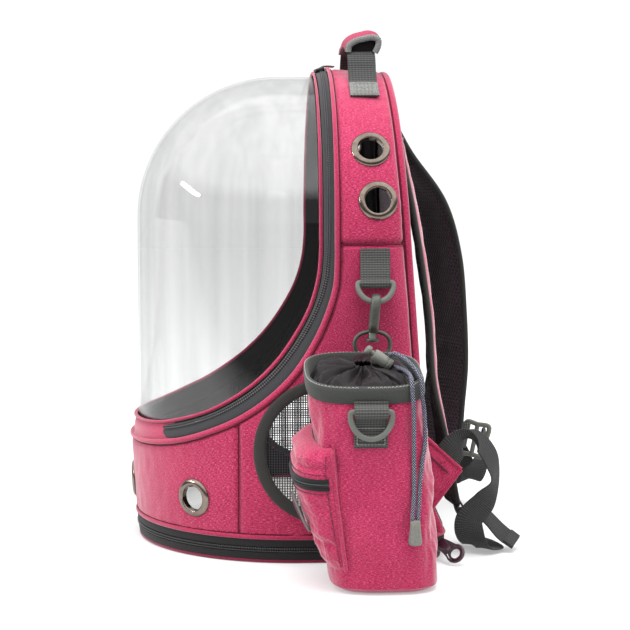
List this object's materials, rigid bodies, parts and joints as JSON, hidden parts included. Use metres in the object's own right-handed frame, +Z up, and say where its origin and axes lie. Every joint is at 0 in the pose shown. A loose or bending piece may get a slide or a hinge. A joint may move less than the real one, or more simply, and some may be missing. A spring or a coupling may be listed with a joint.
{
  "type": "pet carrier backpack",
  "caption": "Soft-sided pet carrier backpack with a clear domed door, round net windows, padded shoulder straps and a treat pouch hooked to its side ring.",
  "frame": {"origin": "middle of the bag's base, on the floor", "axes": "+Z up, -Y the way the domed door faces, +X the side that the pouch hangs on"},
  "size_m": [0.4279, 0.3504, 0.4615],
  "materials": {
    "pink_cloth": "heather weave",
    "pink_piping": "corded edge",
    "grey_webbing": "woven webbing",
    "zip_tape": "twill tape",
    "zip_black": "satin",
    "air_mesh": "spacer mesh",
    "grey_plastic": "moulded",
    "gunmetal": "antique nickel",
    "satin": "satin",
    "net": "open net",
    "pad_grey": "fleece",
    "cord": "braided",
    "clear": "clear moulded sheet",
    "plum": "gloss"
  },
  "bodies": {
    "carrier": {"gusset_upper": "pink_cloth", "side_panel_right": "pink_cloth", "side_panel_left": "pink_cloth", "front_panel": "pink_cloth", "base_panel": "pink_cloth", "door_hinge_tongue": "pink_cloth", "handle_grip": "pink_cloth", "wing_right": "pink_cloth", "wing_left": "pink_cloth", "pouch_body": "pink_cloth", "pouch_pocket": "pink_cloth", "door_piping_outer": "pink_piping", "door_piping_inner": "pink_piping", "back_piping": "pink_piping", "base_piping_upper": "pink_piping", "base_piping_lower": "pink_piping", "handle_webbing": "grey_webbing", "side_tab": "grey_webbing", "pouch_tab": "grey_webbing", "pouch_back_tab": "grey_webbing", "pouch_rim_binding": "grey_webbing", "window_binding_right": "grey_webbing", "window_binding_left": "grey_webbing", "webbing_right": "grey_webbing", "webbing_left": "grey_webbing", "webbing_tail_right": "grey_webbing", "door_zip_tape": "zip_tape", "base_zip_band": "zip_tape", "pocket_zip": "zip_tape", "door_zip_coil": "zip_black", "door_zip_slider_a": "zip_black", "door_zip_slider_b": "zip_black", "back_panel": "air_mesh", "shoulder_strap_right": "air_mesh", "shoulder_strap_left": "air_mesh", "side_d_ring": "grey_plastic", "snap_hook": "grey_plastic", "snap_ring": "grey_plastic", "pocket_zip_pull": "grey_plastic", "cord_lock_barrel": "grey_plastic", "cord_end": "grey_plastic", "ladder_lock_right": "grey_plastic", "ladder_lock_left": "grey_plastic", "vent_upper_right_a": "gunmetal", "vent_upper_right_b": "gunmetal", "vent_upper_left_a": "gunmetal", "vent_upper_left_b": "gunmetal", "vent_front": "gunmetal", "vent_front_right": "gunmetal", "vent_front_left": "gunmetal", "pouch_collar": "satin", "window_net_right": "net", "window_net_left": "net", "floor_pad": "pad_grey", "cord_strand_a": "cord", "cord_strand_b": "cord", "dome": "clear", "base_zip_pull": "plum"},
    "pouch_ring": {"pouch_d_ring": "grey_plastic"},
    "lock_button": {"cord_lock_button": "grey_plastic"}
  },
  "joints": [
    {"name": "pouch_ring_flip", "type": "hinge", "parent": "carrier", "child": "pouch_ring", "pos_m": [0.2716, 0.066, 0.15], "axis": [0, -1, 0], "range_deg": [0, 150]},
    {"name": "lock_button_press", "type": "slide", "parent": "carrier", "child": "lock_button", "axis": [0, 0.8211, -0.5708], "range_m": [0, 0.003], "stiffness_N_per_m": 400}
  ]
}
